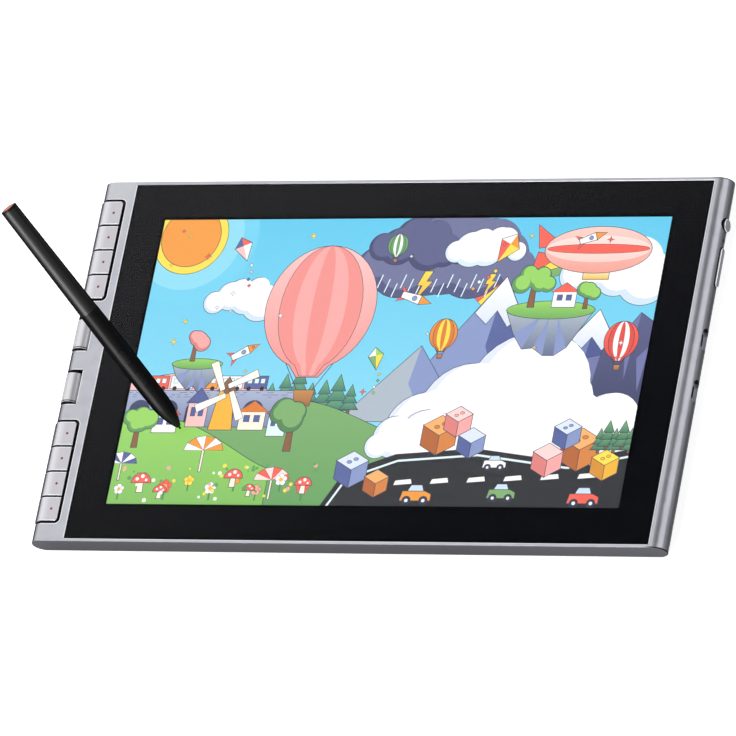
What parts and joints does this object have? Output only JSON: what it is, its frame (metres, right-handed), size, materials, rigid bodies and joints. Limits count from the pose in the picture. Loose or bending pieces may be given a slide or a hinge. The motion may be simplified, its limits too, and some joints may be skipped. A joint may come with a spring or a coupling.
{
  "type": "graphics tablet with screen",
  "caption": "Flat drawing display with a glass front, express keys and thumb rollers in its left edge, buttons and sockets in its right edge, and a pressure pen on the glass.",
  "frame": {"origin": "below the middle of the body, on the plane of the rubber feet", "axes": "+X to the right along the long side, +Y to the top edge of the picture, +Z out of the screen"},
  "size_m": [0.4241, 0.2432, 0.1438],
  "materials": {
    "anodised_body": "satin anodised silver",
    "anodised_cover": "satin anodised silver",
    "key_metal": "satin anodised, a little lighter than the body",
    "roller_metal": "fine knurl",
    "polished_button": "polished",
    "front_glass": "clear, black printed border behind",
    "picture": "lit picture",
    "clear_bond": "clear",
    "acrylic": "clear",
    "black_film": "adhesive film",
    "tray_steel": "plain sheet",
    "steel": "plain",
    "board": "solder mask",
    "ribbon": "film",
    "black_plastic": "moulded",
    "copper": "enamelled wire",
    "foot_rubber": "matte",
    "pen_grip": "soft touch",
    "pen_barrel": "satin",
    "pen_button": "satin",
    "nib_plastic": "moulded",
    "orange_cap": "satin"
  },
  "bodies": {
    "tablet": {"unibody_frame": "anodised_body", "rear_cover": "anodised_cover", "rubber_feet": "foot_rubber", "rear_screws": "steel", "board_screws": "steel", "cover_glass": "front_glass", "glass_tape": "black_film", "optical_bond": "clear_bond", "lcd_cell": "picture", "backlight_tray": "tray_steel", "light_guide": "acrylic", "light_bar": "board", "digitizer_board": "board", "digitizer_shield": "tray_steel", "key_board": "board", "key_switches": "black_plastic", "roller_axles": "steel", "roller_encoders": "black_plastic", "side_board": "board", "side_switches": "black_plastic", "status_pipe": "acrylic", "usb_port_1": "steel", "usb_port_2": "steel", "usb_tongues": "black_plastic", "main_board": "board", "board_chips": "black_plastic", "key_ribbon": "ribbon", "side_ribbon": "ribbon", "display_ribbon": "ribbon"},
    "key_1": {"key_1": "key_metal"},
    "key_2": {"key_2": "key_metal"},
    "key_3": {"key_3": "key_metal"},
    "key_4": {"key_4": "key_metal"},
    "key_5": {"key_5": "key_metal"},
    "key_6": {"key_6": "key_metal"},
    "key_7": {"key_7": "key_metal"},
    "key_8": {"key_8": "key_metal"},
    "roller_1": {"roller_1": "roller_metal"},
    "roller_2": {"roller_2": "roller_metal"},
    "power_button": {"power_button": "polished_button"},
    "rocker_button": {"rocker_button": "polished_button"},
    "pen": {"pen_grip": "pen_grip", "pen_barrel": "pen_barrel", "pen_coil": "copper", "pen_sensor": "black_plastic", "pen_board": "board", "pen_switches": "black_plastic", "eraser_rim": "nib_plastic"},
    "nib": {"pen_nib": "nib_plastic", "nib_holder": "black_plastic"},
    "pen_button_front": {"pen_button_front": "pen_button"},
    "pen_button_rear": {"pen_button_rear": "pen_button"},
    "eraser": {"eraser_cap": "orange_cap"}
  },
  "joints": [
    {"name": "key_1_press", "type": "slide", "parent": "tablet", "child": "key_1", "axis": [0, 0, -1], "range_m": [0, 0.0005], "stiffness_N_per_m": 600, "springref_m": -0.0006},
    {"name": "key_2_press", "type": "slide", "parent": "tablet", "child": "key_2", "axis": [0, 0, -1], "range_m": [0, 0.0005], "stiffness_N_per_m": 600, "springref_m": -0.0006},
    {"name": "key_3_press", "type": "slide", "parent": "tablet", "child": "key_3", "axis": [0, 0, -1], "range_m": [0, 0.0005], "stiffness_N_per_m": 600, "springref_m": -0.0006},
    {"name": "key_4_press", "type": "slide", "parent": "tablet", "child": "key_4", "axis": [0, 0, -1], "range_m": [0, 0.0005], "stiffness_N_per_m": 600, "springref_m": -0.0006},
    {"name": "key_5_press", "type": "slide", "parent": "tablet", "child": "key_5", "axis": [0, 0, -1], "range_m": [0, 0.0005], "stiffness_N_per_m": 600, "springref_m": -0.0006},
    {"name": "key_6_press", "type": "slide", "parent": "tablet", "child": "key_6", "axis": [0, 0, -1], "range_m": [0, 0.0005], "stiffness_N_per_m": 600, "springref_m": -0.0006},
    {"name": "key_7_press", "type": "slide", "parent": "tablet", "child": "key_7", "axis": [0, 0, -1], "range_m": [0, 0.0005], "stiffness_N_per_m": 600, "springref_m": -0.0006},
    {"name": "key_8_press", "type": "slide", "parent": "tablet", "child": "key_8", "axis": [0, 0, -1], "range_m": [0, 0.0005], "stiffness_N_per_m": 600, "springref_m": -0.0006},
    {"name": "roller_1_turn", "type": "hinge", "parent": "tablet", "child": "roller_1", "pos_m": [-0.20485, 0.01802, 0.0096], "axis": [0, 1, 0], "continuous": true},
    {"name": "roller_2_turn", "type": "hinge", "parent": "tablet", "child": "roller_2", "pos_m": [-0.20485, -0.01802, 0.0096], "axis": [0, 1, 0], "continuous": true},
    {"name": "power_press", "type": "slide", "parent": "tablet", "child": "power_button", "axis": [-1, 0, 0], "range_m": [0, 0.0005], "stiffness_N_per_m": 800, "springref_m": -0.0006},
    {"name": "rocker_press", "type": "slide", "parent": "tablet", "child": "rocker_button", "axis": [-1, 0, 0], "range_m": [0, 0.0005], "stiffness_N_per_m": 800, "springref_m": -0.0006},
    {"name": "pen_lift", "type": "slide", "parent": "tablet", "child": "pen", "axis": [0, 0, 1], "range_m": [0, 0.15]},
    {"name": "nib_press", "type": "slide", "parent": "pen", "child": "nib", "axis": [-0.4609, 0.5239, 0.7163], "range_m": [0, 0.0005], "stiffness_N_per_m": 600, "springref_m": -0.0005},
    {"name": "pen_button_front_press", "type": "slide", "parent": "pen", "child": "pen_button_front", "axis": [-0.5267, 0.4882, -0.6959], "range_m": [0, 0.0004], "stiffness_N_per_m": 600, "springref_m": -0.0005},
    {"name": "pen_button_rear_press", "type": "slide", "parent": "pen", "child": "pen_button_rear", "axis": [-0.5267, 0.4882, -0.6959], "range_m": [0, 0.0004], "stiffness_N_per_m": 600, "springref_m": -0.0005},
    {"name": "eraser_press", "type": "slide", "parent": "pen", "child": "eraser", "axis": [0.4609, -0.5239, -0.7163], "range_m": [0, 0.0005], "stiffness_N_per_m": 600, "springref_m": -0.0006}
  ]
}
